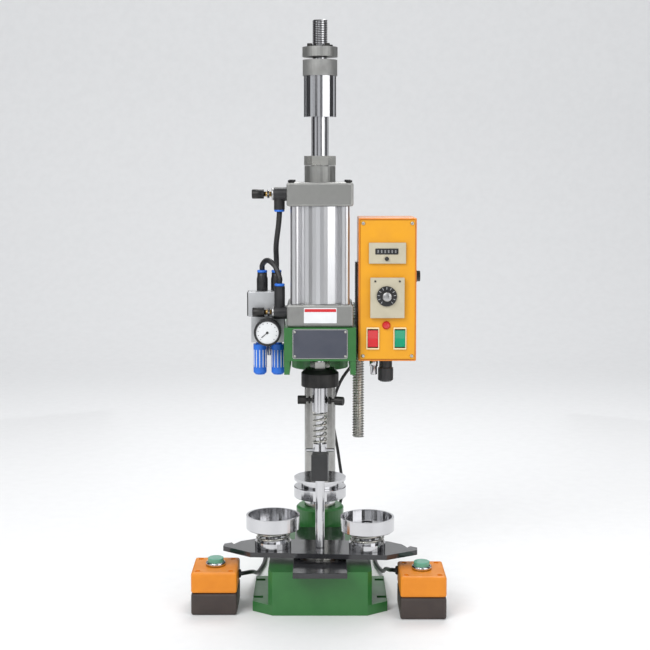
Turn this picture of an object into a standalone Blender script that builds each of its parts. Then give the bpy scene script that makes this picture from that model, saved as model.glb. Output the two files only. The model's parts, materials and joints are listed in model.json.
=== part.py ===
"""Pneumatic button badge maker: a round-column bench press with a two-station die turntable.

Frame: metres, +Z up, the operator stands on the -Y side. The origin lies on the bench under the ram's axis.
"""

import math

import bmesh
import bpy
from mathutils import Matrix, Vector

# Driving dimensions
GAP = 0.0003                      # clearance between touching pieces
TURN_STEPS = 36                   # facets round a turned piece

BASE_HALF_WIDTH = 0.0725
BASE_FRONT = -0.1245
BASE_BACK = 0.160
BASE_TOP = 0.062
FOOT_ROOT = 0.074
FOOT_HALF_WIDTH = 0.095
FOOT_FRONT = -0.1045
FOOT_BACK = 0.007
FOOT_TOP = 0.014
FOOT_SLOTS = (-0.086, -0.010)

BED_HALF_WIDTH = 0.0375
BED_FRONT = -0.1545
BED_BACK = 0.0725
BED_TOP = 0.070

COLUMN_Y = 0.110
COLUMN_RADIUS = 0.024
COLUMN_TOP = 0.400
SOCKET_RADIUS = 0.037
SOCKET_TOP = 0.096

HEAD_BOTTOM = 0.347
HEAD_TOP = 0.395
HEAD_HALF_WIDTH = 0.0515
HEAD_FRONT = -0.050
CLAMP_RADIUS = 0.044
CLAMP_BOTTOM = 0.315
LEAD_SCREW = (0.058, 0.062)

CAP_HALF = 0.0475                 # the air cylinder's square caps
LOWER_CAP_TOP = 0.4275
UPPER_CAP_BOTTOM = 0.568
UPPER_CAP_TOP = 0.602
BOSS_TOP = 0.6257
BORE_RADIUS = 0.040
BARREL_RADIUS = 0.0425
LOBE_PLACE = 0.0355               # corner lobes of the barrel, from the axis
LOBE_RADIUS = 0.0070
ROD_RADIUS = 0.0125
THREAD_RADIUS = 0.01035
OVERALL_HEIGHT = 0.8344

TABLE_TURN = math.radians(-4.0)   # how the turntable was left standing
PIVOT_Y = -0.0675                 # turntable pivot; each die sits this far from it
TABLE_BOTTOM = 0.074
TABLE_TOP = 0.081
TABLE_TIP = 0.139
TABLE_FLAT = 0.0965
TABLE_HALF_DEPTH = 0.034
GUIDE_RADIUS = 0.011              # guide under each cup, sliding in its die base

STATION_SIZE = (0.064, 0.074, 0.0605)
STATION_SPLIT = 0.031
LEFT_STATION = (-0.148, -0.0865)
RIGHT_STATION = (0.143, -0.104)

BOX_LEFT = 0.0552                 # control box
BOX_RIGHT = 0.1386
BOX_FRONT = -0.035
BOX_BACK = 0.045
BOX_BOTTOM = 0.3447
BOX_TOP = 0.5512
PANEL_FACE = -0.0365

TUBE_RADIUS = 0.004
HAND_CABLE_RADIUS = 0.003
CONTROL_CABLE_RADIUS = 0.0025

for old in list(bpy.data.objects):
    bpy.data.objects.remove(old, do_unlink=True)

MODEL = bpy.data.collections.new("button_badge_maker")
CUTTERS = bpy.data.collections.new("cutters")
for group in (MODEL, CUTTERS):
    bpy.context.scene.collection.children.link(group)


def material(name, colour, roughness, metallic):
    made = bpy.data.materials.new(name)
    made.use_nodes = True
    shader = made.node_tree.nodes["Principled BSDF"]
    shader.inputs["Base Color"].default_value = (*colour, 1.0)
    shader.inputs["Roughness"].default_value = roughness
    shader.inputs["Metallic"].default_value = metallic
    return made


FINISHES = {
    "green_paint": ((0.04, 0.17, 0.05), 0.45, 0.0),
    "black_plate": ((0.012, 0.012, 0.014), 0.22, 0.2),
    "chrome": ((0.80, 0.80, 0.82), 0.12, 1.0),
    "satin_aluminium": ((0.50, 0.50, 0.50), 0.38, 1.0),
    "zinc": ((0.66, 0.66, 0.62), 0.30, 1.0),
    "black_oxide": ((0.05, 0.05, 0.05), 0.45, 0.8),
    "orange_shell": ((0.80, 0.23, 0.01), 0.40, 0.0),
    "orange_plastic": ((0.80, 0.23, 0.01), 0.40, 0.0),
    "yellow_panel": ((0.86, 0.42, 0.01), 0.40, 0.0),
    "grey_plastic": ((0.50, 0.49, 0.42), 0.50, 0.0),
    "black_plastic": ((0.02, 0.02, 0.02), 0.45, 0.0),
    "dark_brown_plastic": ((0.035, 0.025, 0.020), 0.50, 0.0),
    "red_plastic": ((0.60, 0.02, 0.03), 0.30, 0.0),
    "green_plastic": ((0.01, 0.30, 0.16), 0.30, 0.0),
    "blue_plastic": ((0.01, 0.20, 0.72), 0.35, 0.0),
    "white_body": ((0.62, 0.63, 0.64), 0.35, 0.6),
    "tube_black": ((0.02, 0.02, 0.02), 0.35, 0.0),
}


def place(made, name, finish):
    """Names an object as a piece of the model and gives it a material of its own."""
    made.name = name
    made.data.name = name
    made.data.materials.clear()
    made.data.materials.append(material(f"{name}_{finish}", *FINISHES[finish]))
    if made.name not in MODEL.objects:
        MODEL.objects.link(made)
    return made


def as_cutter(made):
    CUTTERS.objects.link(made)
    made.hide_render = True
    made.display_type = "WIRE"
    return made


def combine(made, other, operation):
    as_cutter(other)
    step = made.modifiers.new(operation.lower(), "BOOLEAN")
    step.operation = operation
    step.object = other
    return made


def cut(made, *others):
    for other in others:
        combine(made, other, "DIFFERENCE")
    return made


def join(made, *others):
    for other in others:
        combine(made, other, "UNION")
    return made


def box(low, high, bevel=0.0):
    """A block between two corners, its edges rounded by bevel."""
    low, high = Vector(low), Vector(high)
    work = bmesh.new()
    bmesh.ops.create_cube(work, size=1.0)
    bmesh.ops.scale(work, vec=high - low, verts=work.verts)
    bmesh.ops.translate(work, vec=(low + high) / 2, verts=work.verts)
    mesh = bpy.data.meshes.new("box")
    work.to_mesh(mesh)
    work.free()
    made = bpy.data.objects.new("box", mesh)
    if bevel:
        rounding = made.modifiers.new("edges", "BEVEL")
        rounding.width = bevel
        rounding.segments = 2
        rounding.limit_method = "ANGLE"
    return made


def turned(profile, centre=(0.0, 0.0, 0.0), along="Z", closed=False, steps=TURN_STEPS):
    """A profile of (radius, height) points turned about an axis.

    An open profile starts and ends on the axis and runs top to bottom. A closed one is a ring.
    """
    count = len(profile)
    edges = [(i, i + 1) for i in range(count - 1)]
    if closed:
        edges.append((count - 1, 0))
    mesh = bpy.data.meshes.new("turned")
    mesh.from_pydata([(r, 0.0, h) for r, h in profile], edges, [])
    made = bpy.data.objects.new("turned", mesh)
    sweep = made.modifiers.new("turn", "SCREW")
    sweep.axis = "Z"
    sweep.steps = steps
    sweep.render_steps = steps
    sweep.use_merge_vertices = True
    sweep.merge_threshold = 0.00001
    sweep.use_smooth_shade = True
    made.location = centre
    turns = {"Z": (0.0, 0.0, 0.0), "X": (0.0, math.pi / 2, 0.0), "Y": (-math.pi / 2, 0.0, 0.0)}
    made.rotation_euler = turns[along]
    return made


def rod(radius, low, high, centre=(0.0, 0.0, 0.0), along="Z", edge=0.0, steps=TURN_STEPS):
    """A round bar from low to high along its axis, with a small chamfer."""
    if edge:
        profile = [(0, high), (radius - edge, high), (radius, high - edge), (radius, low + edge),
                   (radius - edge, low), (0, low)]
    else:
        profile = [(0, high), (radius, high), (radius, low), (0, low)]
    return turned(profile, centre, along, steps=steps)


def ring(outer, inner, low, high, centre=(0.0, 0.0, 0.0), along="Z", steps=TURN_STEPS):
    profile = [(outer, high), (outer, low), (inner, low), (inner, high)]
    return turned(profile, centre, along, closed=True, steps=steps)


def mesh_of(curve_object):
    """The curve's evaluated mesh as an object of its own, its caps welded to its sides."""
    bpy.context.scene.collection.objects.link(curve_object)
    graph = bpy.context.evaluated_depsgraph_get()
    mesh = bpy.data.meshes.new_from_object(curve_object.evaluated_get(graph))
    work = bmesh.new()
    work.from_mesh(mesh)
    bmesh.ops.remove_doubles(work, verts=work.verts, dist=0.000001)
    work.to_mesh(mesh)
    work.free()
    made = bpy.data.objects.new(curve_object.name, mesh)
    made.matrix_world = curve_object.matrix_world
    bpy.data.objects.remove(curve_object)
    return made


def slab(outline, low, high):
    """A flat outline of (x, y) points, filled and given a thickness from low to high."""
    shape = bpy.data.curves.new("slab", "CURVE")
    shape.dimensions = "2D"
    shape.fill_mode = "BOTH"
    shape.extrude = (high - low) / 2
    line = shape.splines.new("POLY")
    line.points.add(len(outline) - 1)
    for point, (x, y) in zip(line.points, outline):
        point.co = (x, y, 0.0, 1.0)
    line.use_cyclic_u = True
    made = bpy.data.objects.new("slab", shape)
    made.matrix_world = Matrix.Translation((0.0, 0.0, (low + high) / 2))
    return mesh_of(made)


def hexagon(across_flats, turn=0.0):
    corner = across_flats / math.sqrt(3)
    angles = [turn + math.radians(60 * i) for i in range(6)]
    return [(corner * math.cos(a), corner * math.sin(a)) for a in angles]


def circle(radius, x, y, steps=TURN_STEPS):
    angles = [2 * math.pi * (i + 0.5) / steps for i in range(steps)]
    return [(x + radius * math.cos(a), y + radius * math.sin(a)) for a in angles]


def smooth_route(points, per_span):
    """A Catmull-Rom curve through the points, sampled per_span times between each pair."""
    ends = [Vector(p) for p in points]
    ends = [2 * ends[0] - ends[1], *ends, 2 * ends[-1] - ends[-2]]
    route = []
    for a, b, c, d in zip(ends, ends[1:], ends[2:], ends[3:]):
        for step in range(per_span):
            t = step / per_span
            route.append(0.5 * ((2 * b) + (c - a) * t + (2 * a - 5 * b + 4 * c - d) * t * t
                                + (3 * b - a - 3 * c + d) * t ** 3))
    route.append(ends[-2])
    return route


def wire(route, radius, resolution=2):
    """A round wire along a list of points, closed by caps."""
    shape = bpy.data.curves.new("wire", "CURVE")
    shape.dimensions = "3D"
    shape.bevel_depth = radius
    shape.bevel_resolution = resolution
    shape.use_fill_caps = True
    line = shape.splines.new("POLY")
    line.points.add(len(route) - 1)
    for point, place_at in zip(line.points, route):
        point.co = (*place_at, 1.0)
    return bpy.data.objects.new("wire", shape)


def coil(radius, low, high, turns, centre, per_turn=16):
    """Points of a helix whose first and last half turns lie flat."""
    count = round(turns * per_turn)
    flat = 0.5
    route = []
    for i in range(count + 1):
        turn = i / per_turn
        share = min(max((turn - flat) / (turns - 2 * flat), 0.0), 1.0)
        angle = 2 * math.pi * turn
        route.append((centre[0] + radius * math.cos(angle), centre[1] + radius * math.sin(angle),
                      low + (high - low) * share))
    return route


def pivot(name, centre, turn=0.0):
    """An empty on a joint's axis that the moving pieces hang from."""
    empty = bpy.data.objects.new(name, None)
    empty.location = centre
    empty.rotation_euler = (0.0, 0.0, turn)
    MODEL.objects.link(empty)
    return empty


def hang(empty, *pieces):
    """Parents pieces to a pivot, with the cutters that shape them."""
    for piece in pieces:
        piece.parent = empty
        for step in piece.modifiers:
            if step.type == "BOOLEAN":
                step.object.parent = empty


# Base, bed and column

def base_casting():
    """A solid cast block with a slotted ear along each side."""
    cut_back = 0.006
    x, front, back = BASE_HALF_WIDTH, BASE_FRONT, BASE_BACK
    body = slab([(-x + cut_back, front), (x - cut_back, front), (x, front + cut_back), (x, back - cut_back),
                 (x - cut_back, back), (-x + cut_back, back), (-x, back - cut_back), (-x, front + cut_back)],
                0.0, BASE_TOP)
    for side in (-1, 1):
        root = side * (x - 0.010)
        ear = slab([(root, front + 0.001), (side * (x - cut_back + 0.001), front + 0.001),
                    (side * FOOT_HALF_WIDTH, FOOT_FRONT), (side * FOOT_HALF_WIDTH, FOOT_BACK),
                    (root, FOOT_BACK)],
                   0.0, FOOT_TOP)
        join(body, ear)
        for slot_y in FOOT_SLOTS:
            low, high = sorted((side * 0.081, side * 0.110))
            cut(body, box((low, slot_y - 0.0045, -0.010), (high, slot_y + 0.0045, 0.030)))
    place(body, "base_casting", "green_paint")


def column_and_socket():
    socket = rod(SOCKET_RADIUS, BASE_TOP + GAP, SOCKET_TOP, (0.0, COLUMN_Y, 0.0), edge=0.003)
    cut(socket, rod(COLUMN_RADIUS + GAP, 0.050, 0.120, (0.0, COLUMN_Y, 0.0)))
    place(socket, "column_socket", "green_paint")
    bar = rod(COLUMN_RADIUS, BASE_TOP + GAP, COLUMN_TOP, (0.0, COLUMN_Y, 0.0), edge=0.002)
    place(bar, "column", "chrome")


def lower_plate():
    plate = box((-BED_HALF_WIDTH, BED_FRONT, BASE_TOP + GAP), (BED_HALF_WIDTH, BED_BACK, BED_TOP), 0.0006)
    place(plate, "lower_plate", "black_plate")


# Head and air cylinder

def head_casting():
    """The block under the cylinder, its side webs, the screw boss and a split clamp on the column."""
    body = box((-HEAD_HALF_WIDTH, HEAD_FRONT, HEAD_BOTTOM), (HEAD_HALF_WIDTH, 0.1035, HEAD_TOP))
    for side in (-1, 1):
        low, high = sorted((side * (HEAD_HALF_WIDTH - 0.008), side * (HEAD_HALF_WIDTH - 0.0002)))
        join(body, box((low, HEAD_FRONT + 0.001, 0.327), (high, 0.060, HEAD_BOTTOM + 0.005)))
    join(body, slab(circle(CLAMP_RADIUS, 0.0, COLUMN_Y), CLAMP_BOTTOM, HEAD_TOP - 0.0012))
    x, y = LEAD_SCREW
    join(body, box((0.040, y - 0.013, 0.3485), (x + 0.013, y + 0.013, 0.3805)))
    cut(body, slab(circle(COLUMN_RADIUS + GAP, 0.0, COLUMN_Y), 0.300, 0.420))
    cut(body, slab(circle(0.016, 0.0, 0.0), 0.300, 0.420))
    cut(body, slab(circle(0.0093, x, y), 0.300, 0.420))
    cut(body, box((-0.0015, COLUMN_Y + 0.010, 0.300), (0.0015, COLUMN_Y + 0.060, 0.420)))
    place(body, "head_casting", "green_paint")
    screw = rod(0.0090, 0.214, 0.420, (x, y, 0.0), edge=0.001, steps=28)
    place(screw, "lead_screw", "zinc")


def cylinder():
    """Square end caps and a barrel whose four corner lobes hide the tie rods."""
    lower = box((-CAP_HALF, -CAP_HALF, HEAD_TOP + GAP), (CAP_HALF, CAP_HALF, LOWER_CAP_TOP), 0.003)
    cut(lower, rod(ROD_RADIUS + GAP, 0.380, 0.450))
    place(lower, "cylinder_bottom_cap", "satin_aluminium")

    upper = box((-CAP_HALF, -CAP_HALF, UPPER_CAP_BOTTOM), (CAP_HALF, CAP_HALF, UPPER_CAP_TOP), 0.003)
    join(upper, rod(0.0225, UPPER_CAP_TOP - 0.005, BOSS_TOP, edge=0.001))
    cut(upper, rod(ROD_RADIUS + GAP, 0.550, 0.650))
    place(upper, "cylinder_top_cap", "satin_aluminium")

    low, high = LOWER_CAP_TOP + GAP, UPPER_CAP_BOTTOM - GAP
    barrel = rod(BARREL_RADIUS, low, high, steps=48)
    for x in (-LOBE_PLACE, LOBE_PLACE):
        for y in (-LOBE_PLACE, LOBE_PLACE):
            join(barrel, rod(LOBE_RADIUS, low, high, (x, y, 0.0), steps=20))
    for turn in (math.radians(45), math.radians(135)):
        web = box((-0.049, -0.0045, low), (0.049, 0.0045, high))
        web.rotation_euler = (0.0, 0.0, turn)
        join(barrel, web)
    cut(barrel, rod(BORE_RADIUS, low - 0.010, high + 0.010, steps=48))
    place(barrel, "cylinder_barrel", "satin_aluminium")

    nut = slab(hexagon(0.046 * math.cos(math.pi / 6)), BOSS_TOP + GAP, 0.6397)
    cut(nut, rod(ROD_RADIUS + GAP, 0.610, 0.660))
    place(nut, "rod_gland_nut", "zinc")


# Ram

def ram():
    """The double-ended rod with its piston, the stroke adjuster above and the die holder below."""
    piston_low, piston_high, shoulder = 0.535, 0.560, 0.3396
    profile = [(0, OVERALL_HEIGHT), (0.0093, OVERALL_HEIGHT), (THREAD_RADIUS, OVERALL_HEIGHT - 0.001),
               (THREAD_RADIUS, 0.6954), (ROD_RADIUS, 0.6954), (ROD_RADIUS, piston_high),
               (BORE_RADIUS - GAP, piston_high), (BORE_RADIUS - GAP, piston_low), (ROD_RADIUS, piston_low),
               (ROD_RADIUS, shoulder), (0.0080, shoulder), (0.0080, 0.3225), (0, 0.3225)]
    place(turned(profile, steps=48), "piston_rod", "chrome")

    bore = THREAD_RADIUS + GAP
    place(ring(0.0254, bore, 0.7816, 0.7956, steps=40), "stroke_flange", "satin_aluminium")
    place(ring(0.0250, bore, 0.7546, 0.7773, steps=40), "stroke_collar", "satin_aluminium")
    place(ring(0.0235, bore, 0.6957, 0.7543, steps=40), "stroke_sleeve", "chrome")

    nut = slab(hexagon(0.0285 * math.cos(math.pi / 6)), 0.3300, 0.3393)
    cut(nut, rod(0.0083, 0.320, 0.350))
    place(nut, "ram_locknut", "zinc")

    made = turned([(0, 0.3297), (0.0160, 0.3297), (0.0215, 0.3290), (0.0275, 0.3225), (0.0275, 0.3033),
                   (0, 0.3033)], steps=40)
    cut(made, rod(0.0083, 0.3220, 0.3400), rod(0.0068, 0.2900, 0.3185))
    place(made, "ram_collar", "black_oxide")

    place(ring(0.0115, 0.0066, 0.2647, 0.3030), "die_holder", "chrome")
    spring = wire(coil(0.00975, 0.2186, 0.2631, 6.5, (0.0, 0.0)), 0.00125)
    place(spring, "die_spring", "zinc")


def thumb_screw(name, turn, reach):
    """A knurled screw that clamps the spindle, with its lock nut, pointing outwards from the die holder."""
    knob = reach - 0.0125
    profile = [(0, reach), (0.0056, reach), (0.0064, reach - 0.0008), (0.0064, knob), (0.0028, knob),
               (0.0028, 0.0170), (0.0055, 0.0170), (0.0055, 0.0140), (0.0028, 0.0140), (0.0028, 0.0118),
               (0, 0.0118)]
    screw = turned(profile, (0.0, 0.0, 0.282), steps=24)
    screw.rotation_euler = (0.0, math.pi / 2, turn)
    place(screw, name, "black_oxide")


def upper_die():
    """The sprung spindle, and the plate and pressing ring it carries."""
    spindle = [(0, 0.2865), (0.0053, 0.2865), (0.0060, 0.2858), (0.0060, 0.2170), (0.0100, 0.2170),
               (0.0100, 0.2035), (0.0060, 0.2035), (0.0060, 0.1673), (0, 0.1673)]
    made = turned(spindle)
    join(made, rod(0.0028, -0.021, 0.021, (0.0, 0.0, 0.2068), "X", edge=0.0005, steps=16))
    place(made, "upper_die_shaft", "chrome")

    plate = [(0, 0.1670), (0.03825, 0.1670), (0.03825, 0.1635), (0.0275, 0.1635), (0.0275, 0.1543), (0, 0.1543)]
    place(turned(plate, steps=48), "upper_die_plate", "chrome")
    press = [(0, 0.1540), (0.0377, 0.1540), (0.0385, 0.1532), (0.0385, 0.1388), (0.0377, 0.1380),
             (0.0230, 0.1380), (0.0230, 0.1305), (0, 0.1305)]
    place(turned(press, steps=48), "upper_die_ring", "chrome")


# Turntable and lower dies

def turntable():
    """A long six-sided plate with a locating notch near each tip, its bearing and its handle."""
    bearing = ring(0.030, 0.010, BED_TOP + GAP, TABLE_BOTTOM - GAP, (0.0, PIVOT_Y, 0.0))
    place(bearing, "turntable_bearing", "zinc")
    tip = 0.006
    outline = [(-TABLE_TIP, -tip), (-TABLE_FLAT, -TABLE_HALF_DEPTH), (TABLE_FLAT, -TABLE_HALF_DEPTH),
               (TABLE_TIP, -tip), (TABLE_TIP, tip), (TABLE_FLAT, TABLE_HALF_DEPTH),
               (-TABLE_FLAT, TABLE_HALF_DEPTH), (-TABLE_TIP, tip)]
    plate = slab(outline, TABLE_BOTTOM, TABLE_TOP)
    for side in (-1, 1):
        notch = [(side * 0.125, 0.005), (side * 0.136, 0.026), (side * 0.114, 0.026)]
        cut(plate, slab(notch, TABLE_BOTTOM - 0.010, TABLE_TOP + 0.010))
        cut(plate, rod(GUIDE_RADIUS + 0.0006, 0.060, 0.100, (side * abs(PIVOT_Y), 0.0, 0.0)))
    place(plate, "turntable", "black_plate")
    post = rod(0.0065, TABLE_TOP + GAP, 0.179, edge=0.0005, steps=28)
    place(post, "handle_post", "chrome")
    grip = box((-0.0118, -0.012, 0.1793), (0.0118, 0.012, 0.217), 0.0012)
    place(grip, "handle_grip", "black_plastic")
    hub = pivot("turntable_pivot", (0.0, PIVOT_Y, 0.0), TABLE_TURN)
    hang(hub, plate, post, grip)
    return hub


def lower_die(hub, side, name, floor, bolted):
    """A bored base on the turntable and a cup whose guide slides in it."""
    x = side * abs(PIVOT_Y)
    bore, deck = GUIDE_RADIUS + 0.0004, TABLE_TOP + GAP
    base = [(0.020, 0.0947), (0.020, 0.0900), (0.0260, 0.0900), (0.0260, deck), (bore, deck), (bore, 0.0947)]
    foot = turned(base, (x, 0.0, 0.0), closed=True, steps=40)
    place(foot, f"die_base_{name}", "chrome")
    middle = [(0, floor)]
    if bolted:
        middle = [(0, floor - 0.0015), (0.0045, floor - 0.0015), (0.0045, floor - 0.0055),
                  (0.008, floor - 0.0055), (0.008, floor)]
    cup = [*middle, (0.0355, floor), (0.0355, 0.1270), (0.0385, 0.1270), (0.0385, 0.1083), (0.0377, 0.1075),
           (GUIDE_RADIUS, 0.1075), (GUIDE_RADIUS, 0.0900), (0, 0.0900)]
    made = turned(cup, (x, 0.0, 0.0), steps=48)
    place(made, f"die_cup_{name}", "chrome")
    hang(hub, foot, made)


# Two-hand stations

def station(name, centre):
    width, depth, height = STATION_SIZE
    x, y = centre
    west, east, south, north = x - width / 2, x + width / 2, y - depth / 2, y + depth / 2
    tray = box((west, south, 0.0), (east, north, STATION_SPLIT - GAP), 0.003)
    wall = 0.003
    cut(tray, box((west + wall, south + wall, wall), (east - wall, north - wall, 0.050)))
    place(tray, f"hand_box_{name}_base", "dark_brown_plastic")
    lid = box((west, south, STATION_SPLIT), (east, north, height), 0.003)
    cut(lid, box((west + wall, south + wall, 0.010), (east - wall, north - wall, height - wall)))
    cut(lid, rod(0.0110, 0.050, 0.080, (x, y, 0.0), steps=28))
    for corner_x in (west + 0.009, east - 0.009):
        for corner_y in (south + 0.009, north - 0.009):
            cut(lid, rod(0.0038, height - 0.0018, height + 0.010, (corner_x, corner_y, 0.0), steps=16))
    place(lid, f"hand_box_{name}_cover", "orange_plastic")
    profile = [(0, 0.0715), (0.0105, 0.0715), (0.0112, 0.0708), (0.0112, 0.0640), (0.0080, 0.0640),
               (0.0080, 0.0400), (0, 0.0400)]
    place(turned(profile, (x, y, 0.0), steps=32), f"button_{name}", "green_plastic")


# Control box

def control_box():
    wall = 0.0025
    shell = box((BOX_LEFT, BOX_FRONT, BOX_BOTTOM), (BOX_RIGHT, BOX_BACK, BOX_TOP), 0.0015)
    low = (BOX_LEFT + wall, -0.060, BOX_BOTTOM + wall)
    high = (BOX_RIGHT - wall, BOX_BACK - wall, BOX_TOP - wall)
    cut(shell, box(low, high))
    place(shell, "control_box", "orange_shell")

    panel = box((0.0580, PANEL_FACE, 0.3480), (0.1360, BOX_FRONT - GAP, 0.5480))
    for x in (0.07595, 0.1149):
        cut(panel, box((x - 0.0077, -0.060, 0.3643), (x + 0.0077, 0.0, 0.3917)))
    place(panel, "control_panel", "yellow_panel")
    face = PANEL_FACE - GAP
    place(box((0.0700, -0.0405, 0.4860), (0.1230, face, 0.5160), 0.0006), "counter", "grey_plastic")
    place(box((0.0720, -0.0440, 0.4080), (0.1210, face, 0.4660), 0.0008), "timer", "grey_plastic")

    knob = [(0, 0.0100), (0.0060, 0.0100), (0.0068, 0.0092), (0.0068, 0.0025), (0.0145, 0.0020),
            (0.0145, 0), (0, 0)]
    dial = turned(knob, (0.0955, -0.0443, 0.4396), steps=36)
    dial.rotation_euler = (math.pi / 2, 0.0, 0.0)
    place(dial, "timer_dial", "black_plastic")
    lamp = turned([(0, 0.0050), (0.0040, 0.0040), (0.0060, 0.0015), (0.0060, 0), (0, 0)],
                  (0.0953, face, 0.3970), steps=24)
    lamp.rotation_euler = (math.pi / 2, 0.0, 0.0)
    place(lamp, "power_lamp", "red_plastic")
    rocker("left", 0.07595, "red_plastic")
    rocker("right", 0.1149, "green_plastic")

    bracket = box((0.0518, 0.020, 0.350), (BOX_LEFT - GAP, 0.0483, 0.484))
    join(bracket, box((0.0530, BOX_BACK + GAP, 0.398), (0.130, 0.0483, 0.4839)))
    place(bracket, "panel_bracket", "black_plate")


def rocker(name, x, finish):
    """A key that tips about its middle in the panel's window."""
    middle = 0.378
    half = 0.0120
    outline = [(0.0035, -half), (0.0035, half), (-0.0045, half), (-0.0025, 0.0), (-0.0035, -half)]
    mesh = bpy.data.meshes.new("key")
    verts = [(px, y, z) for px in (-0.0072, 0.0072) for y, z in outline]
    count = len(outline)
    faces = [tuple(range(count)), tuple(reversed(range(count, 2 * count)))]
    for i in range(count):
        after = (i + 1) % count
        faces.append((i, i + count, after + count, after))
    mesh.from_pydata(verts, [], faces)
    work = bmesh.new()
    work.from_mesh(mesh)
    bmesh.ops.recalc_face_normals(work, faces=work.faces)
    work.to_mesh(mesh)
    work.free()
    key = bpy.data.objects.new("key", mesh)
    key.location = (x, PANEL_FACE, middle)
    place(key, f"rocker_{name}", finish)


# Air service on the left

def air_service():
    place(box((-0.1005, -0.006, 0.368), (-HEAD_HALF_WIDTH - GAP, 0.030, 0.4055), 0.0008), "valve_manifold",
          "white_body")
    valve = box((-0.105, -0.006, 0.4058), (-0.053, 0.030, 0.442), 0.0008)
    for x in (-0.085, -0.064):
        fitting = [(0, 0.4690), (0.0062, 0.4690), (0.0062, 0.4600), (0.0070, 0.4600), (0.0070, 0.4400),
                   (0, 0.4400)]
        join(valve, turned(fitting, (x, 0.012, 0.0), steps=24))
    place(valve, "valve_body", "white_body")
    case = [(0, 0.0040), (0.0165, 0.0040), (0.0165, 0.0060), (0.0185, 0.0060), (0.0195, 0.0050),
            (0.0195, -0.0130), (0.0060, -0.0130), (0.0060, -0.0207), (0, -0.0207)]
    gauge = turned(case, (-0.076, -0.0270, 0.3854), steps=36)
    gauge.rotation_euler = (math.pi / 2, 0.0, 0.0)
    place(gauge, "pressure_gauge", "black_plastic")
    for name, x in (("left", -0.0885), ("right", -0.0620)):
        profile = [(0, 0.3677), (0.0060, 0.3677), (0.0060, 0.3640), (0.0097, 0.3640), (0.0097, 0.3220),
                   (0.0070, 0.3190), (0, 0.3190)]
        place(turned(profile, (x, 0.0080, 0.0), steps=24), f"muffler_{name}", "blue_plastic")
    speed_control("top", 0.585, -0.023)
    speed_control("bottom", 0.414, 0.038)
    low = smooth_route([(-0.085, 0.012, 0.4693), (-0.085, 0.012, 0.4740), (-0.084, 0.008, 0.482), (-0.076, -0.002, 0.488),
                        (-0.065, -0.014, 0.480), (-0.0585, -0.020, 0.464), (-0.0585, -0.020, 0.458),
                        (-0.0585, -0.020, 0.4523)], 5)
    place(wire(low, TUBE_RADIUS), "air_tube_bottom", "tube_black")
    high = smooth_route([(-0.0585, -0.020, 0.5617), (-0.0585, -0.020, 0.556), (-0.060, -0.014, 0.540), (-0.064, 0.002, 0.510),
                         (-0.064, 0.011, 0.488), (-0.064, 0.012, 0.475),
                         (-0.064, 0.012, 0.4693)], 6)
    place(wire(high, TUBE_RADIUS), "air_tube_top", "tube_black")


def speed_control(name, z, port):
    """A flow control screwed into the cap, with a push-in port and a knurled needle screw."""
    axis_x = -CAP_HALF - GAP
    profile = [(0, 0), (0.0100, 0), (0.0100, 0.0182), (0.0085, 0.0182), (0.0085, 0.0215), (0.0032, 0.0215),
               (0.0032, 0.0250), (0.0060, 0.0250), (0.0060, 0.0280), (0.0032, 0.0280), (0.0032, 0.0330),
               (0.0065, 0.0330), (0.0065, 0.0495), (0.0057, 0.0502), (0, 0.0502)]
    body = turned(list(reversed(profile)), (axis_x, -0.020, z), steps=28)
    body.rotation_euler = (0.0, -math.pi / 2, 0.0)
    low, high = sorted((z, z + port))
    join(body, rod(0.0078, low, high, (-0.0585, -0.020, 0.0), edge=0.0008, steps=24))
    place(body, f"speed_control_{name}", "black_plastic")


# Cables

def cables():
    left = smooth_route([(-0.1156, -0.080, 0.046), (-0.111, -0.080, 0.046), (-0.106, -0.074, 0.045), (-0.101, -0.058, 0.041),
                         (-0.099, -0.010, 0.026), (-0.095, 0.050, 0.006), (-0.088, 0.100, 0.0035),
                         (-0.085, 0.150, 0.0035), (-0.068, 0.180, 0.006), (-0.045, 0.180, 0.013),
                         (-0.040, 0.168, 0.015), (-0.040, 0.1604, 0.015)], 6)
    place(wire(left, HAND_CABLE_RADIUS), "hand_cable_left", "tube_black")
    right = smooth_route([(0.1106, -0.078, 0.050), (0.1070, -0.0775, 0.0499), (0.1035, -0.070, 0.048), (0.1015, -0.045, 0.040),
                          (0.099, 0.010, 0.024), (0.095, 0.050, 0.008), (0.088, 0.100, 0.0035),
                          (0.085, 0.150, 0.0035), (0.068, 0.180, 0.006), (0.045, 0.180, 0.013),
                          (0.040, 0.168, 0.015), (0.040, 0.1604, 0.015)], 6)
    place(wire(right, HAND_CABLE_RADIUS), "hand_cable_right", "tube_black")
    trunk = smooth_route([(0.090, 0.0455, 0.366), (0.090, 0.051, 0.366), (0.089, 0.062, 0.362), (0.080, 0.105, 0.345),
                          (0.060, 0.150, 0.320), (0.032, 0.164, 0.280), (0.020, 0.166, 0.230),
                          (0.030, 0.166, 0.160), (0.036, 0.170, 0.100), (0.022, 0.178, 0.050), (0.010, 0.174, 0.033),
                          (0.010, 0.167, 0.030), (0.010, 0.1604, 0.030)], 5)
    place(wire(trunk, CONTROL_CABLE_RADIUS), "control_cable", "tube_black")


base_casting()
column_and_socket()
lower_plate()
head_casting()
cylinder()
ram()
thumb_screw("thumb_screw_left", math.pi, 0.0330)
thumb_screw("thumb_screw_right", math.radians(-20), 0.0365)
upper_die()
table_pivot = turntable()
lower_die(table_pivot, -1, "left", 0.1120, False)
lower_die(table_pivot, 1, "right", 0.1185, True)
station("left", LEFT_STATION)
station("right", RIGHT_STATION)
control_box()
air_service()
cables()
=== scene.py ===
"""Button badge maker: the visual model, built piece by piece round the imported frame."""

import json

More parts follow.
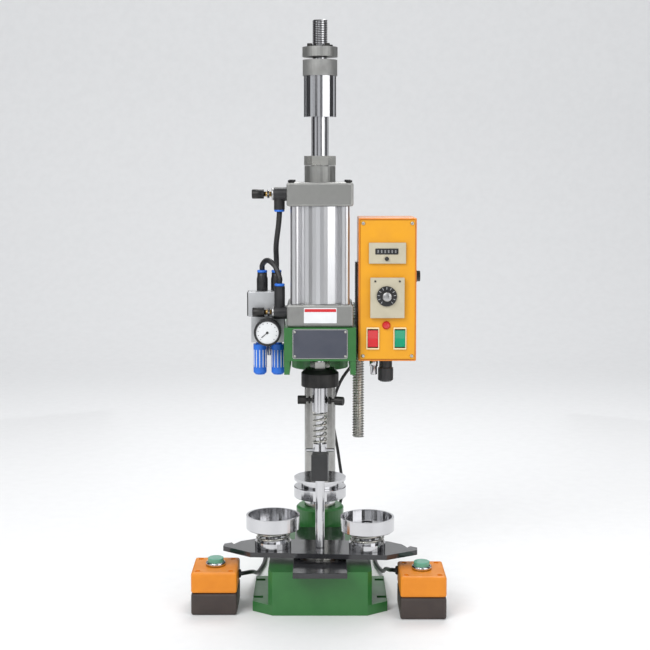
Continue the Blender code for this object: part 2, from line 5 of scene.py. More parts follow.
import bmesh
import bpy
import numpy as np
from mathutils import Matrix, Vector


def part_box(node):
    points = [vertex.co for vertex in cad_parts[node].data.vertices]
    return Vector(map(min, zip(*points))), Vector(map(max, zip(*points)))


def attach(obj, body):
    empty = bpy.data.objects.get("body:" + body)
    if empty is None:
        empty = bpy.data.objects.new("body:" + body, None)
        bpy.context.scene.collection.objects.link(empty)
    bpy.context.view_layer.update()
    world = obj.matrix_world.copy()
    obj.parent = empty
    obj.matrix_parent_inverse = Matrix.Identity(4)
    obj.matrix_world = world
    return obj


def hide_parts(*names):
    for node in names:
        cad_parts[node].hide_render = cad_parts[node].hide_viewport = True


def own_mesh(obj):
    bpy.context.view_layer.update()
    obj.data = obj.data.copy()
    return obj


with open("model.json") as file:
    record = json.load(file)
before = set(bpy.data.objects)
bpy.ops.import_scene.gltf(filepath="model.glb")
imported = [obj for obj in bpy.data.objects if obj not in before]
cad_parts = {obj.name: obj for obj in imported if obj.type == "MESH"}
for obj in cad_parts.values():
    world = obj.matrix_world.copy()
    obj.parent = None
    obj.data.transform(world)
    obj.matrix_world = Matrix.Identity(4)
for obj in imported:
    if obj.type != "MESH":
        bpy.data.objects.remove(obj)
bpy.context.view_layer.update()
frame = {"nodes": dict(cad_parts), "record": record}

# The view of the bench: a long lens a little above the dies, looking slightly down.
# The lens is shifted a little, so that the machine stands in the middle of the frame.
EYE_PLACE = (0.0, -1.8675, 0.623)
VIEW_SLOPE = 104.0 / 1264.0
LENS, SENSOR = 71.0, 36.0
SHIFT = (0.0077, -0.08)
eye = bpy.data.objects.new("camera", bpy.data.cameras.new("camera"))
bpy.context.scene.collection.objects.link(eye)
eye.location = EYE_PLACE
eye.rotation_euler = (np.pi / 2 - np.arctan(VIEW_SLOPE), 0.0, 0.0)
eye.data.lens, eye.data.sensor_width = LENS, SENSOR
eye.data.shift_x, eye.data.shift_y = SHIFT
bpy.context.scene.camera = eye
bpy.context.scene.view_settings.view_transform = "Standard"


# Hand-button cables: black rubber leads from each push-button station to the back of the base.
# They sag from the station's gland to the bench, run back beside the base and turn into its rear face.
def new_material(name, roughness=0.5, metallic=0.0, coat=0.0):
    """A Principled finish; its plain values are set on the shader's own sockets."""
    made = bpy.data.materials.new(name)
    made.use_nodes = True
    shader = made.node_tree.nodes["Principled BSDF"]
    shader.inputs["Roughness"].default_value = roughness
    shader.inputs["Metallic"].default_value = metallic
    shader.inputs["Coat Weight"].default_value = coat
    shader.inputs["Coat Roughness"].default_value = 0.12
    return made, made.node_tree, shader


def mottled_group():
    """Mixes two colours and two roughnesses by a soft noise, and gives a fine height for the surface's grain."""
    group = bpy.data.node_groups.new("mottled", "ShaderNodeTree")
    for label, kind in (("Colour", "NodeSocketColor"), ("Second Colour", "NodeSocketColor"),
                        ("Patch Scale", "NodeSocketFloat"), ("Grain Scale", "NodeSocketFloat"),
                        ("Roughness Low", "NodeSocketFloat"), ("Roughness High", "NodeSocketFloat")):
        group.interface.new_socket(label, in_out="INPUT", socket_type=kind)
    for label, kind in (("Colour", "NodeSocketColor"), ("Roughness", "NodeSocketFloat"),
                        ("Height", "NodeSocketFloat")):
        group.interface.new_socket(label, in_out="OUTPUT", socket_type=kind)
    nodes, links = group.nodes, group.links
    entry, leave = nodes.new("NodeGroupInput"), nodes.new("NodeGroupOutput")
    where = nodes.new("ShaderNodeTexCoord")
    patches, grain = nodes.new("ShaderNodeTexNoise"), nodes.new("ShaderNodeTexNoise")
    patches.inputs["Detail"].default_value = 6.0
    grain.inputs["Detail"].default_value = 3.0
    spread = nodes.new("ShaderNodeMapRange")
    spread.inputs["From Min"].default_value = 0.35
    spread.inputs["From Max"].default_value = 0.68
    blend = nodes.new("ShaderNodeMix")
    blend.data_type = "RGBA"
    rough = nodes.new("ShaderNodeMapRange")
    for noise, scale in ((patches, "Patch Scale"), (grain, "Grain Scale")):
        links.new(where.outputs["Object"], noise.inputs["Vector"])
        links.new(entry.outputs[scale], noise.inputs["Scale"])
    links.new(patches.outputs["Fac"], spread.inputs["Value"])
    links.new(spread.outputs["Result"], blend.inputs["Factor"])
    links.new(entry.outputs["Colour"], blend.inputs[6])
    links.new(entry.outputs["Second Colour"], blend.inputs[7])
    links.new(spread.outputs["Result"], rough.inputs["Value"])
    links.new(entry.outputs["Roughness Low"], rough.inputs["To Min"])
    links.new(entry.outputs["Roughness High"], rough.inputs["To Max"])
    links.new(blend.outputs[2], leave.inputs["Colour"])
    links.new(rough.outputs["Result"], leave.inputs["Roughness"])
    links.new(grain.outputs["Fac"], leave.inputs["Height"])
    return group


MOTTLED = mottled_group()


def mottled(name, colour, second, rough=(0.3, 0.45), metallic=0.0, coat=0.0, patch=45.0, grain=900.0, bump=0.08):
    """A finish whose colour and gloss drift in patches over a fine grain."""
    made, tree, shader = new_material(name, rough[0], metallic, coat)
    look = tree.nodes.new("ShaderNodeGroup")
    look.node_tree = MOTTLED
    look.inputs["Colour"].default_value = (*colour, 1.0)
    look.inputs["Second Colour"].default_value = (*second, 1.0)
    look.inputs["Patch Scale"].default_value = patch
    look.inputs["Grain Scale"].default_value = grain
    look.inputs["Roughness Low"].default_value = rough[0]
    look.inputs["Roughness High"].default_value = rough[1]
    raised = tree.nodes.new("ShaderNodeBump")
    raised.inputs["Strength"].default_value = bump
    raised.inputs["Distance"].default_value = 0.0004
    tree.links.new(look.outputs["Colour"], shader.inputs["Base Color"])
    tree.links.new(look.outputs["Roughness"], shader.inputs["Roughness"])
    tree.links.new(look.outputs["Height"], raised.inputs["Height"])
    tree.links.new(raised.outputs["Normal"], shader.inputs["Normal"])
    return made


def skin(name, rings, finish, body, smooth=True, slot=None):
    """Joins a stack of closed rings, an array of (ring, point, xyz), into quads, and caps both ends."""
    rings = np.asarray(rings, float)
    rows, count = rings.shape[:2]
    i, j = np.meshgrid(np.arange(rows - 1), np.arange(count), indexing="ij")
    after = (j + 1) % count
    quads = np.stack([i * count + j, i * count + after, (i + 1) * count + after, (i + 1) * count + j], -1)
    faces = [list(f) for f in quads.reshape(-1, 4).tolist()]
    faces += [list(range(count - 1, -1, -1)), list(range((rows - 1) * count, rows * count))]
    points = rings.reshape(-1, 3)
    a, b, c = (points[quads.reshape(-1, 4)[:, k]] for k in range(3))
    outward = np.einsum("ij,ij->", np.cross(b - a, c - a), a - points.mean(0))
    if outward < 0:
        faces = [f[::-1] for f in faces]
    mesh = bpy.data.meshes.new(name)
    mesh.from_pydata(points.tolist(), [], faces)
    mesh.polygons.foreach_set("use_smooth", [smooth and len(f) == 4 for f in faces])
    mesh.materials.append(finish)
    made = bpy.data.objects.new(name, mesh)
    bpy.context.scene.collection.objects.link(made)
    if body:
        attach(made, body)
    return made


def rope(name, path, radius, finish, body, steps=14, **more):
    """A circle carried along a path; its two side directions are turned as little as the path allows."""
    path = np.asarray(path, float)
    ahead = np.gradient(path, axis=0)
    ahead /= np.linalg.norm(ahead, axis=1)[:, None]
    side = np.cross(ahead, (0.0, 0.0, 1.0)) + 1e-6 * np.array([1.0, 0.3, 0.0])
    for k in range(len(side)):
        if k:
            side[k] = side[k - 1] - ahead[k] * np.dot(side[k - 1], ahead[k])
        side[k] /= np.linalg.norm(side[k])
    other = np.cross(ahead, side)
    t = np.linspace(0, 2 * np.pi, steps, endpoint=False)[None, :, None]
    rings = path[:, None] + radius * (np.cos(t) * side[:, None] + np.sin(t) * other[:, None])
    return skin(name, rings, finish, body, **more)


def through(points, per_span):
    """The Catmull-Rom curve through the points, sampled evenly between each pair."""
    points = np.array(points, float)
    points = np.vstack([2 * points[0] - points[1], points, 2 * points[-1] - points[-2]])
    t = (np.arange(per_span) / per_span)[None, :, None]
    a, b, c, d = (points[k:len(points) - 3 + k][:, None] for k in range(4))
    curve = 0.5 * (2 * b + (c - a) * t + (2 * a - 5 * b + 4 * c - d) * t ** 2 + (3 * b - a - 3 * c + d) * t ** 3)
    return np.vstack([curve.reshape(-1, 3), points[-2]])


rubber = mottled("cable_rubber", (0.012, 0.012, 0.013), (0.022, 0.022, 0.022), (0.38, 0.52), bump=0.05)
CABLE_DIAMETER = 0.006
HAND_ROUTES = {
    "left": [(-0.1156, -0.080, 0.046), (-0.111, -0.080, 0.046), (-0.106, -0.074, 0.045), (-0.101, -0.058, 0.041),
             (-0.099, -0.010, 0.026), (-0.095, 0.050, 0.006), (-0.088, 0.100, 0.0035), (-0.085, 0.150, 0.0035),
             (-0.068, 0.180, 0.006), (-0.045, 0.180, 0.013), (-0.040, 0.168, 0.015), (-0.040, 0.1604, 0.015)],
    "right": [(0.1106, -0.078, 0.050), (0.1070, -0.0775, 0.0499), (0.1035, -0.070, 0.048), (0.1015, -0.045, 0.040),
              (0.099, 0.010, 0.024), (0.095, 0.050, 0.008), (0.088, 0.100, 0.0035), (0.085, 0.150, 0.0035),
              (0.068, 0.180, 0.006), (0.045, 0.180, 0.013), (0.040, 0.168, 0.015), (0.040, 0.1604, 0.015)]}
for hand, points in HAND_ROUTES.items():
    route = through(points, 6)
    cable = rope(f"cable_{hand}", route, CABLE_DIAMETER / 2, rubber, "frame")
    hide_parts(f"hand_cable_{hand}")

# Finishes of the carried-over solids: enamel, plate, chrome, cast aluminium and moulded plastics.
# Each CAD node takes the finish of its record slot, and a few are singled out below.
FINISHES = {
    "green_paint": mottled("green_enamel", (0.020, 0.130, 0.026), (0.026, 0.148, 0.031), (0.30, 0.42), coat=0.2,
                           grain=420.0, bump=0.22),
    "black_plate": mottled("black_plate", (0.010, 0.010, 0.012), (0.020, 0.020, 0.023), (0.10, 0.22), coat=0.6),
    "chrome": mottled("chrome", (0.64, 0.64, 0.655), (0.60, 0.60, 0.615), (0.14, 0.18), 1.0, patch=20.0, bump=0.005),
    "satin_aluminium": mottled("satin_aluminium", (0.34, 0.34, 0.325), (0.29, 0.29, 0.28), (0.36, 0.50), 0.85,
                               grain=1300.0, bump=0.25),
    "zinc": mottled("zinc", (0.58, 0.57, 0.52), (0.44, 0.44, 0.42), (0.22, 0.38), 1.0, bump=0.06),
    "black_oxide": mottled("black_oxide", (0.020, 0.020, 0.021), (0.040, 0.038, 0.036), (0.28, 0.45), 0.6),
    # orange_shell: the enclosure's darker, redder orange is painted shade of its rounded rim; the box itself is the
    # same yellow-orange paint as the panel.
    "orange_shell": mottled("orange_enamel_painted_shade", (0.72, 0.225, 0.005), (0.65, 0.195, 0.004), (0.32, 0.46), coat=0.3,
                            grain=700.0, bump=0.15),
    "orange_plastic": mottled("orange_moulding", (0.72, 0.235, 0.005), (0.66, 0.205, 0.004), (0.38, 0.50),
                              grain=1100.0, bump=0.12),
    "yellow_panel": mottled("yellow_panel", (0.74, 0.330, 0.006), (0.70, 0.305, 0.006), (0.38, 0.50)),
    "grey_plastic": mottled("grey_plastic", (0.50, 0.455, 0.340), (0.45, 0.410, 0.300), (0.42, 0.55)),
    "black_plastic": mottled("black_plastic", (0.014, 0.014, 0.015), (0.026, 0.026, 0.027), (0.30, 0.46)),
    "dark_brown_plastic": mottled("brown_plastic", (0.036, 0.025, 0.022), (0.050, 0.036, 0.031), (0.45, 0.60)),
    "red_plastic": mottled("red_plastic", (0.58, 0.016, 0.022), (0.50, 0.012, 0.016), (0.14, 0.22), coat=0.5),
    "green_plastic": mottled("green_plastic", (0.007, 0.300, 0.155), (0.006, 0.250, 0.130), (0.14, 0.22), coat=0.5),
    "blue_plastic": mottled("blue_plastic", (0.018, 0.160, 0.680), (0.016, 0.130, 0.580), (0.34, 0.48)),
    "white_body": mottled("silver_grey", (0.52, 0.53, 0.54), (0.45, 0.46, 0.47), (0.32, 0.45), 0.35),
    "tube_black": rubber,
}
teal = mottled("button_teal", (0.105, 0.340, 0.235), (0.090, 0.300, 0.205), (0.20, 0.30), coat=0.4)
barrel = mottled("honed_barrel", (0.76, 0.76, 0.77), (0.73, 0.73, 0.74), (0.28, 0.31), 1.0, patch=18.0, bump=0.0)
column_steel = mottled("ground_column", (0.40, 0.395, 0.38), (0.34, 0.335, 0.32), (0.20, 0.27), 1.0, bump=0.01)
bare = mottled("stroke_collar_matte", (0.36, 0.36, 0.35), (0.27, 0.27, 0.26), (0.50, 0.65), 0.8, bump=0.3)
SINGLED_OUT = {"button_left": teal, "button_right": teal, "column": column_steel, "cylinder_barrel": barrel,
               "stroke_collar": bare}
for entry in frame["record"]["subparts"]:
    node = frame["nodes"][entry["node"]]
    node.data.materials.clear()
    node.data.materials.append(SINGLED_OUT.get(entry["node"], FINISHES[entry["material_slot"]]))


# Screwed rods: the ram's M20 tail and the trapezoidal height screw, cut steel.
# The radius follows a wave that climbs one pitch in each turn, so the groove is a true helix.
def screwed(name, radius, depth, pitch, low, high, centre, finish, body, **more):
    """r(t, z) = radius - depth (1 + cos(2 pi z / pitch - t)) / 2."""
    t = np.linspace(0, 2 * np.pi, 36, endpoint=False)[None, :]
    z = np.linspace(low, high, int((high - low) / pitch * 8) + 1)[:, None]
    r = radius - depth * (1 + np.cos(2 * np.pi * z / pitch - t)) / 2
    rings = np.stack([centre[0] + r * np.cos(t), centre[1] + r * np.sin(t), z + 0 * t], -1)
    return skin(name, rings, finish, body, **more)


RAM_THREAD = (0.0108, 0.0009, 0.0025)
HEIGHT_THREAD = (0.0090, 0.0018, 0.004)
for name, foot, top in (("ram_thread", 0.7960, 0.8340), ("ram_thread_gap", 0.7775, 0.7814)):
    screwed(name, *RAM_THREAD, foot, top, (0, 0), FINISHES["black_oxide"], "ram", slot="black_oxide")
low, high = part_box("lead_screw")
height_screw = screwed("height_screw", *HEIGHT_THREAD, low[2], high[2],
                       ((low[0] + high[0]) / 2, (low[1] + high[1]) / 2), FINISHES["zinc"], "frame", slot="zinc")
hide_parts("lead_screw")

# Socket screws: black cap heads with a hexagon recess, used on the stroke flange and the clamp.
# The recess is the inner part of one profile, turned with six sides inside a round head.
AXES = {"z": ((1, 0, 0), (0, 1, 0), (0, 0, 1)), "-y": ((1, 0, 0), (0, 0, 1), (0, -1, 0)),
        "x": ((0, 1, 0), (0, 0, 1), (1, 0, 0)), "-x": ((0, 1, 0), (0, 0, 1), (-1, 0, 0))}


def stack(outlines, heights, centre, facing):
    """Places plane outlines, (ring, point, 2), at heights along the way they face."""
    right, up, out = (np.array(v, float) for v in AXES[facing])
    flat = np.asarray(outlines, float)
    return (np.asarray(centre, float) + flat[..., :1] * right + flat[..., 1:2] * up
            + np.asarray(heights, float)[:, None, None] * out)


def rounds(radii, steps=40, sides=None):
    """One circle for each radius: (r cos t, r sin t)."""
    t = np.linspace(0, 2 * np.pi, sides or steps, endpoint=False)
    return np.asarray(radii, float)[:, None, None] * np.stack([np.cos(t), np.sin(t)], -1)


def cap_screw(name, radius, height, centre, facing, body):
    """Rings run up the head, over its rim, and down a six-sided socket."""
    outer = rounds((radius, radius, radius * 0.92), 36)
    socket = np.repeat(rounds([radius * 0.55], sides=6), 2, axis=0)
    t = np.linspace(0, 6, 36, endpoint=False)
    k = t.astype(int)
    part = (t - k)[:, None]
    six = socket[0][k] * (1 - part) + socket[0][(k + 1) % 6] * part
    outlines = np.concatenate([outer, six[None], six[None]])
    heights = (0.0, height * 0.9, height, height, height * 0.4)
    return skin(name, stack(outlines, heights, centre, facing), FINISHES["black_oxide"], body, smooth=False,
                slot="black_oxide")


FLANGE_CIRCLE, FLANGE_TOP = 0.0180, 0.7957
CAP_REACH, CAP_TOP = 0.041, 0.6021
for k, angle in enumerate(np.radians([35, 125, 215, 305])):
    cap_screw(f"flange_screw_{k}", 0.0038, 0.0045,
              (FLANGE_CIRCLE * np.cos(angle), FLANGE_CIRCLE * np.sin(angle), FLANGE_TOP), "z", "ram")
for k, x in enumerate((-CAP_REACH, CAP_REACH)):
    for m, y in enumerate((-CAP_REACH, CAP_REACH)):
        cap_screw(f"cap_screw_{k}{m}", 0.0048, 0.0030, (x, y, CAP_TOP), "z", "frame")

# Die springs: two turns of round steel wire between each die's base and its cup.
# The real springs shorten as the cup sinks, down to the wire's own thickness; here each coil is built at one length,
# with a mesh of its own.
DIE_REACH, TABLE_TILT = 0.0675, np.radians(-4)
COIL_FOOT, COIL_TOP, COIL_RADIUS, COIL_WIRE, COIL_SEAT = 0.0921, 0.1054, 0.0228, 0.0017, 0.0903
for hand, along in (("left", -1), ("right", 1)):
    centre = np.array([along * DIE_REACH * np.cos(TABLE_TILT), -DIE_REACH + along * DIE_REACH * np.sin(TABLE_TILT)])
    turn = np.linspace(0, 2 * np.pi * 2.5, 90)
    rise = COIL_FOOT + (COIL_TOP - COIL_FOOT) * np.clip((turn / (2 * np.pi) - 0.25) / 2.0, 0, 1)
    path = np.stack([centre[0] + COIL_RADIUS * np.cos(turn), centre[1] + COIL_RADIUS * np.sin(turn), rise], -1)
    coil = rope(f"cup_spring_{hand}", path, COIL_WIRE, FINISHES["zinc"], "turntable", slot="zinc")
    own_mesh(coil)

# Spindle spring: steel wire round the upper die's spindle, held between the die and its holder.
# The real spring shortens against the holder as the die floats up; here it is built at one length, with a mesh of its
# own.
SPINDLE_FOOT, SPINDLE_TOP, SPINDLE_RADIUS, SPINDLE_WIRE = 0.2186, 0.2631, 0.00975, 0.00125
turn = np.linspace(0, 2 * np.pi * 6.5, 170)
climb = np.clip((turn / (2 * np.pi) - 0.5) / 5.5, 0, 1)
path = np.stack([SPINDLE_RADIUS * np.cos(turn), SPINDLE_RADIUS * np.sin(turn),
                 SPINDLE_FOOT + (SPINDLE_TOP - SPINDLE_FOOT) * climb], -1)
spindle_spring = rope("spindle_spring", path, SPINDLE_WIRE, FINISHES["zinc"], "ram", slot="zinc")
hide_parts("die_spring")
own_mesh(spindle_spring)

# Name plate and cylinder label: etched slate plate with four screws, and a white label with a red band.
# Both are blank. The plate is screwed to the head's front, the label is stuck to the lower cap.
def tablets(width, height, corner, insets, steps=5):
    """Rounded rectangles, each drawn in by its inset: a corner's centre plus a quarter turn of its radius."""
    t = np.linspace(0, np.pi / 2, steps)
    quarter = np.arange(4)[:, None] * np.pi / 2 + t
    sign = np.array([[1, 1], [-1, 1], [-1, -1], [1, -1]], float)[:, None]
    loops = []
    for inset in insets:
        radius = max(corner - inset, 0.0001)
        middle = sign * (np.array([width, height]) / 2 - inset - radius)
        loops.append((middle + radius * np.stack([np.cos(quarter), np.sin(quarter)], -1)).reshape(-1, 2))
    return np.array(loops)


def turned(name, profile, centre, facing, finish, body, steps=40, **more):
    """A profile of (radius, height) turned about the way it faces."""
    profile = np.array(profile, float)
    return skin(name, stack(rounds(profile[:, 0], steps), profile[:, 1], centre, facing), finish, body, **more)


def tablet(name, width, height, corner, depth, centre, facing, finish, body, edge=0.0004, **more):
    """A plate with rounded corners and a small chamfer round its face."""
    outline = tablets(width, height, corner, (0.0, 0.0, edge))
    return skin(name, stack(outline, (0.0, depth - edge, depth), centre, facing), finish, body, smooth=False, **more)


PLATE_X, PLATE_Z = 0.00015, 0.3715
slate = mottled("slate_plate", (0.066, 0.072, 0.096), (0.080, 0.086, 0.110), (0.30, 0.42), 0.3)
bright = mottled("bright_rim", (0.50, 0.50, 0.50), (0.42, 0.42, 0.42), (0.25, 0.35), 0.9)
tablet("name_plate_rim", 0.0793, 0.0430, 0.003, 0.0008, (PLATE_X, -0.0502, PLATE_Z), "-y", bright, "frame",
       slot="zinc")
tablet("name_plate", 0.0765, 0.0402, 0.002, 0.0007, (PLATE_X, -0.0511, PLATE_Z), "-y", slate, "frame",
       slot="black_plate")
for k, x in enumerate((-0.0360, 0.0363)):
    for m, z in enumerate((0.3540, 0.3890)):
        turned(f"plate_screw_{k}{m}", [(0.0019, 0), (0.0019, 0.0004), (0.0012, 0.0009), (0.0003, 0.0010)],
               (x, -0.0519, z), "-y", FINISHES["zinc"], "frame", steps=20, slot="zinc")
label = mottled("label_white", (0.74, 0.75, 0.76), (0.68, 0.69, 0.70), (0.35, 0.45))
tablet("cap_label", 0.047, 0.022, 0.001, 0.0004, (0.0005, -0.0477, 0.4122), "-y", label, "frame", edge=0.0001,
       slot="white_body")
tablet("cap_label_band", 0.045, 0.0042, 0.0005, 0.0003, (0.0005, -0.0482, 0.4195), "-y",
       FINISHES["red_plastic"], "frame", edge=0.0001, slot="red_plastic")

# Push-button bezels: a chromed ring nut round each hand button, screwed down on the station's cover.
# A rubber gland closes the hole where the cable comes out.
for hand, (x, y), inner in (("left", (-0.148, -0.0865), 1), ("right", (0.143, -0.104), -1)):
    turned_ring = stack(rounds((0.0140, 0.0140, 0.0132, 0.0122, 0.0118, 0.0118), 48),
                        (0.0, 0.0035, 0.0050, 0.0053, 0.0048, 0.0004), (x, y, 0.0607), "z")
    skin(f"bezel_{hand}", turned_ring, FINISHES["chrome"], "frame", slot="chrome")
    gland_y, gland_z = (-0.080, 0.046) if hand == "left" else (-0.078, 0.050)
    face = x + inner * 0.0322
    turned(f"station_gland_{hand}", [(0.0062, 0), (0.0062, 0.0020), (0.0050, 0.0032), (0.0036, 0.0034)],
           (face, gland_y, gland_z), "x" if inner > 0 else "-x", FINISHES["black_plastic"], "frame", steps=28,
           slot="black_plastic")

# Control panel trim: counter window, timer scale, rocker bezels, corner screws and the box's fittings.
# The window shows six plain drum cells; the scale has plain ticks.
PANEL_X, COUNTER_Z, DIAL_Z = 0.0955, 0.5035, 0.4396
ROCKER_Z = 0.378
window = mottled("window_black", (0.008, 0.008, 0.009), (0.012, 0.012, 0.013), (0.08, 0.14), coat=0.8)
ink = mottled("scale_ink", (0.02, 0.02, 0.02), (0.03, 0.03, 0.03), (0.5, 0.6))
ivory = mottled("ivory", (0.80, 0.66, 0.40), (0.74, 0.60, 0.36), (0.40, 0.50))
tablet("counter_window", 0.033, 0.0085, 0.001, 0.0006, (PANEL_X, -0.0408, COUNTER_Z), "-y", window, "frame",
       slot="black_plastic")
for k in range(6):
    tablet(f"counter_drum_{k}", 0.0022, 0.0042, 0.0004, 0.0003, (0.0830 + 0.0050 * k, -0.0416, COUNTER_Z), "-y",
           bright, "frame", edge=0.0001, slot="white_body")
turned("counter_reset", [(0.0030, 0), (0.0030, 0.0024), (0.0024, 0.0030), (0.0003, 0.0031)],
       (PANEL_X, -0.0407, 0.4930), "-y", FINISHES["black_plastic"], "frame", steps=24, slot="black_plastic")
turned("dial_cap", [(0.0066, 0), (0.0066, 0.0004), (0.0058, 0.0010), (0.0003, 0.0011)],
       (PANEL_X, -0.0544, DIAL_Z), "-y", bright, "timer_knob", steps=32, slot="zinc")
for k, angle in enumerate(np.radians(np.arange(-50, 231, 28))):
    spokes = np.linspace(0.0098, 0.0132, 4)[:, None] * np.array([np.cos(angle), 0.0, np.sin(angle)])
    rope(f"dial_tick_{k}", spokes + np.array([PANEL_X, -0.0468, DIAL_Z]), 0.0003, label, "timer_knob", steps=6,
         slot="white_body")
for k, x in enumerate((0.0790, 0.1140)):
    turned(f"timer_led_{k}", [(0.0015, 0), (0.0015, 0.0004), (0.0008, 0.0009), (0.0002, 0.0010)],
           (x, -0.0442, 0.4610), "-y", window, "frame", steps=16, slot="black_plastic")
for hand, x in (("left", 0.07595), ("right", 0.1149)):
    outer, inner = tablets(0.0186, 0.0320, 0.0012, (0, 0, 0.0005)), tablets(0.0156, 0.0276, 0.0004, (0, 0))
    rings = stack(np.concatenate([outer, inner]), (0.0, 0.0020, 0.0025, 0.0025, 0.0), (x, -0.0368, ROCKER_Z), "-y")
    surround = skin(f"rocker_bezel_{hand}", np.concatenate([rings, rings[:1]]), ivory, "frame", smooth=False,
                    slot="grey_plastic")
    work = bmesh.new()
    work.from_mesh(surround.data)
    caps = [f for f in work.faces if len(f.verts) > 4]
    bmesh.ops.delete(work, geom=caps, context="FACES_ONLY")
    bmesh.ops.remove_doubles(work, verts=work.verts, dist=0.000001)
    bmesh.ops.recalc_face_normals(work, faces=work.faces)
    work.to_mesh(surround.data)
    work.free()
for k, x in enumerate((0.0620, 0.1320)):
    for m, z in enumerate((0.3525, 0.5435)):
        turned(f"panel_screw_{k}{m}", [(0.0026, 0), (0.0026, 0.0006), (0.0016, 0.0014), (0.0003, 0.0015)],
               (x, -0.0367, z), "-y", FINISHES["zinc"], "frame", steps=20, slot="zinc")
turned("fuse_holder", [(0.0095, 0), (0.0095, 0.0028), (0.0078, 0.0032), (0.0078, 0.0074), (0.0070, 0.0078)],
       (0.1388, 0.005, 0.4645), "x", FINISHES["black_plastic"], "frame", slot="black_plastic")
turned("round_connector", [(0.0046, 0.320), (0.0050, 0.3206), (0.0050, 0.3320), (0.0062, 0.3325),
                           (0.0062, 0.3444)], (0.079, 0.0, 0.0), "z", FINISHES["chrome"], "frame", slot="chrome")
turned("box_gland", [(0.0085, 0.310), (0.0112, 0.3120), (0.0112, 0.3300), (0.0095, 0.3310), (0.0095, 0.3444)],
       (0.0965, 0.0, 0.0), "z", FINISHES["black_plastic"], "frame", steps=12, smooth=False, slot="black_plastic")

# Air service trim: the gauge's white dial with its needle, blue push-in collars, and the valve's end plate.
# The dial sits inside the black case behind its rim.
GAUGE_X, GAUGE_Z, TICK_CIRCLE = -0.076, 0.3854, 0.0135
turned("gauge_dial", [(0.0164, 0), (0.0164, 0.0003), (0.0160, 0.0004)], (GAUGE_X, -0.0311, GAUGE_Z), "-y",
       label, "frame", steps=48, slot="white_body")
for k, angle in enumerate(np.radians(np.arange(-45, 226, 27))):
    turned(f"gauge_tick_{k}", [(0.0006, 0), (0.0006, 0.0002), (0.0001, 0.0002)],
           (GAUGE_X + TICK_CIRCLE * np.cos(angle), -0.0316, GAUGE_Z + TICK_CIRCLE * np.sin(angle)), "-y", ink, "frame",
           steps=8, slot="black_plastic")
reach = np.linspace(0, 1, 8)[:, None]
needle = np.array([GAUGE_X, -0.0322, GAUGE_Z]) + reach * np.array([-0.0085, 0.0, -0.0070])
rope("gauge_needle", needle, 0.0005, ink, "frame", steps=8, slot="black_plastic")
turned("gauge_hub", [(0.0018, 0), (0.0018, 0.0008), (0.0010, 0.0012)], (GAUGE_X, -0.0316, GAUGE_Z), "-y", ink,
       "frame", steps=20, slot="black_plastic")
blue = FINISHES["blue_plastic"]
for name, x, y, z in (("collar_valve_left", -0.085, 0.012, 0.4692), ("collar_valve_right", -0.064, 0.012, 0.4692),
                      ("collar_bottom", -0.0585, -0.020, 0.4521), ("collar_top", -0.0585, -0.020, 0.5595)):
    turned(name, [(0.0066, 0), (0.0074, 0.0008), (0.0074, 0.0030), (0.0060, 0.0038)], (x, y, z), "z", blue,
           "frame", steps=28, slot="blue_plastic")
for hand, x in (("left", -0.085), ("right", -0.064)):
    turned(f"elbow_sleeve_{hand}", [(0.0078, 0.4424), (0.0082, 0.4430), (0.0082, 0.4600), (0.0072, 0.4640),
                                    (0.0072, 0.4690)], (x, 0.012, 0.0), "z", FINISHES["black_plastic"], "frame",
           steps=6 if hand == "right" else 28, slot="black_plastic")
PORT_FACE = (-0.0478, -0.020)
brass = mottled("needle_brass", (0.50, 0.33, 0.12), (0.42, 0.27, 0.10), (0.26, 0.36), 1.0)
for port, z in (("top", 0.585), ("bottom", 0.414)):
    turned(f"needle_stem_{port}", [(0.0036, 0.0218), (0.0036, 0.0328)], (*PORT_FACE, z), "-x", brass,
           "frame", steps=20, slot="zinc")
    for k, (near, far, radius) in enumerate(((0.0183, 0.0217, 0.0090), (0.0249, 0.0281, 0.0064),
                                             (0.0329, 0.0496, 0.0068))):
        turned(f"needle_nut_{port}_{k}", [(radius - 0.0005, near), (radius, near + 0.0005),
                                                (radius, far - 0.0005), (radius - 0.0005, far)],
               (*PORT_FACE, z), "-x", bright if k < 2 else FINISHES["black_oxide"], "frame",
               steps=6 if k == 1 else 28, slot="zinc")
tablet("valve_end", 0.036, 0.0350, 0.002, 0.0012, (-0.1052, 0.012, 0.4240), "-x", FINISHES["black_plastic"],
       "frame", slot="black_plastic")
turned("air_nipple", [(0.0040, 0.345), (0.0046, 0.346), (0.0046, 0.3676)], (-0.0752, 0.024, 0.0), "z",
       FINISHES["zinc"], "frame", steps=24, slot="zinc")
MUFFLER_RADIUS, MUFFLER_Y = 0.0096, 0.008
for hand, x in (("left", -0.0885), ("right", -0.0620)):
    for k, angle in enumerate(np.radians(np.arange(0, 360, 30))):
        place = (x + MUFFLER_RADIUS * np.cos(angle), MUFFLER_Y + MUFFLER_RADIUS * np.sin(angle))
        slot_path = np.stack([np.full(5, place[0]), np.full(5, place[1]), np.linspace(0.330, 0.356, 5)], -1)
        rope(f"muffler_slot_{hand}_{k}", slot_path, 0.0007, label, "frame", steps=6, slot="white_body")

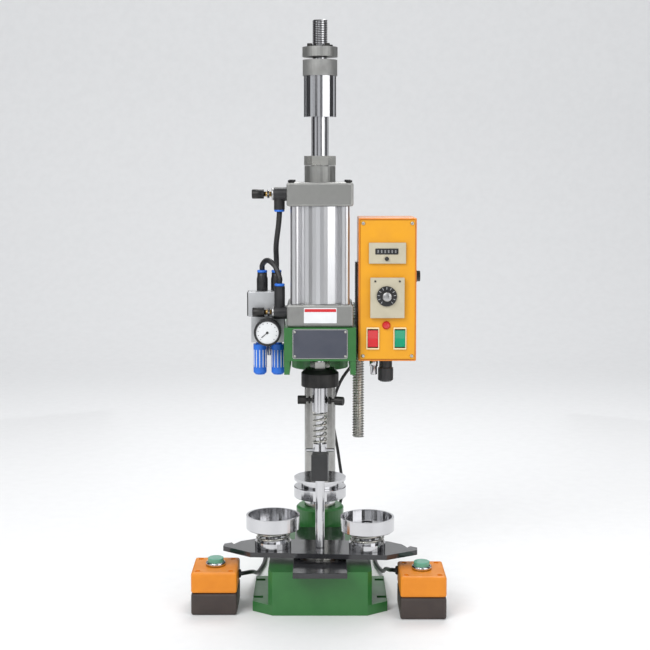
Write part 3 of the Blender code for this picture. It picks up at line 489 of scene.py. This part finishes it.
# The bench is a pale sweep that rises far behind the machine.
# Its light is a broad key from the left, a weaker fill from the right and a strip above.
u, v = np.linspace(-4, 4, 9), np.linspace(0, 1, 40)
depth = np.where(v < 0.6, -3 + v / 0.6 * 5, 2 + 0.9 * np.sin(np.clip((v - 0.6) / 0.2, 0, 1) * np.pi / 2))
height = np.where(v < 0.6, 0.0, 0.9 * (1 - np.cos(np.clip((v - 0.6) / 0.2, 0, 1) * np.pi / 2)))
height = height + np.where(v > 0.8, (v - 0.8) * 15, 0.0)
grid_u, grid_d = np.meshgrid(u, depth)
grid_h = np.meshgrid(u, height)[1] - 0.0002
cells = np.arange(39 * 9).reshape(39, 9)[:, :8].ravel()
sweep_mesh = bpy.data.meshes.new("sweep")
sweep_mesh.from_pydata(np.stack([grid_u, grid_d, grid_h], -1).reshape(-1, 3).tolist(), [],
                       np.stack([cells, cells + 1, cells + 10, cells + 9], -1).tolist())
sweep_mesh.polygons.foreach_set("use_smooth", [True] * len(sweep_mesh.polygons))
sweep_mesh.materials.append(mottled("sweep_white", (0.84, 0.84, 0.84), (0.82, 0.82, 0.82), (0.6, 0.7), bump=0.0))
sweep = bpy.data.objects.new("sweep", sweep_mesh)
bpy.context.scene.collection.objects.link(sweep)
world = bpy.data.worlds.new("studio")
world.use_nodes = True
world.node_tree.nodes["Background"].inputs["Color"].default_value = (0.95, 0.97, 1.0, 1.0)
world.node_tree.nodes["Background"].inputs["Strength"].default_value = 0.66
bpy.context.scene.world = world
for name, spot, power, size in (("key", (-1.1, -1.7, 1.9), 38, 1.4), ("fill", (1.5, -1.5, 1.1), 12, 1.6),
                                ("strip", (0.2, 0.9, 2.0), 18, 1.0)):
    lamp = bpy.data.lights.new(name, "AREA")
    lamp.energy, lamp.size = power, size
    hung = bpy.data.objects.new(name, lamp)
    hung.location = spot
    aim = np.array([0, 0, 0.4]) - np.array(spot)
    hung.rotation_euler = (np.arccos(-aim[2] / np.linalg.norm(aim)), 0.0, np.arctan2(aim[1], aim[0]) - np.pi / 2)
    bpy.context.scene.collection.objects.link(hung)

# Dark cards stand in a ring round the bench, and are seen only in reflections.
# They give the chrome its dark bands from every side.
card_black, _, card_shader = new_material("card_black", 0.9)
card_shader.inputs["Base Color"].default_value = (0.03, 0.03, 0.032, 1.0)
CARD_RING, CARD_TOP = 1.5, 2.4
for k, (middle, width) in enumerate(((-96, 44), (-34, 18), (16, 16), (88, 40), (142, 26), (214, 26))):
    t = np.radians(middle + np.linspace(-width / 2, width / 2, 6) - 90)
    foot = np.stack([CARD_RING * np.cos(t), CARD_RING * np.sin(t)], -1)
    points = np.concatenate([np.c_[foot, np.full(6, 0.001)], np.c_[foot, np.full(6, CARD_TOP)]])
    m = np.arange(5)
    card_mesh = bpy.data.meshes.new(f"card_{k}")
    card_mesh.from_pydata(points.tolist(), [], np.stack([m, m + 1, m + 7, m + 6], -1).tolist())
    card_mesh.materials.append(card_black)
    card = bpy.data.objects.new(f"card_{k}", card_mesh)
    bpy.context.scene.collection.objects.link(card)
    card.visible_camera = card.visible_shadow = card.visible_diffuse = False
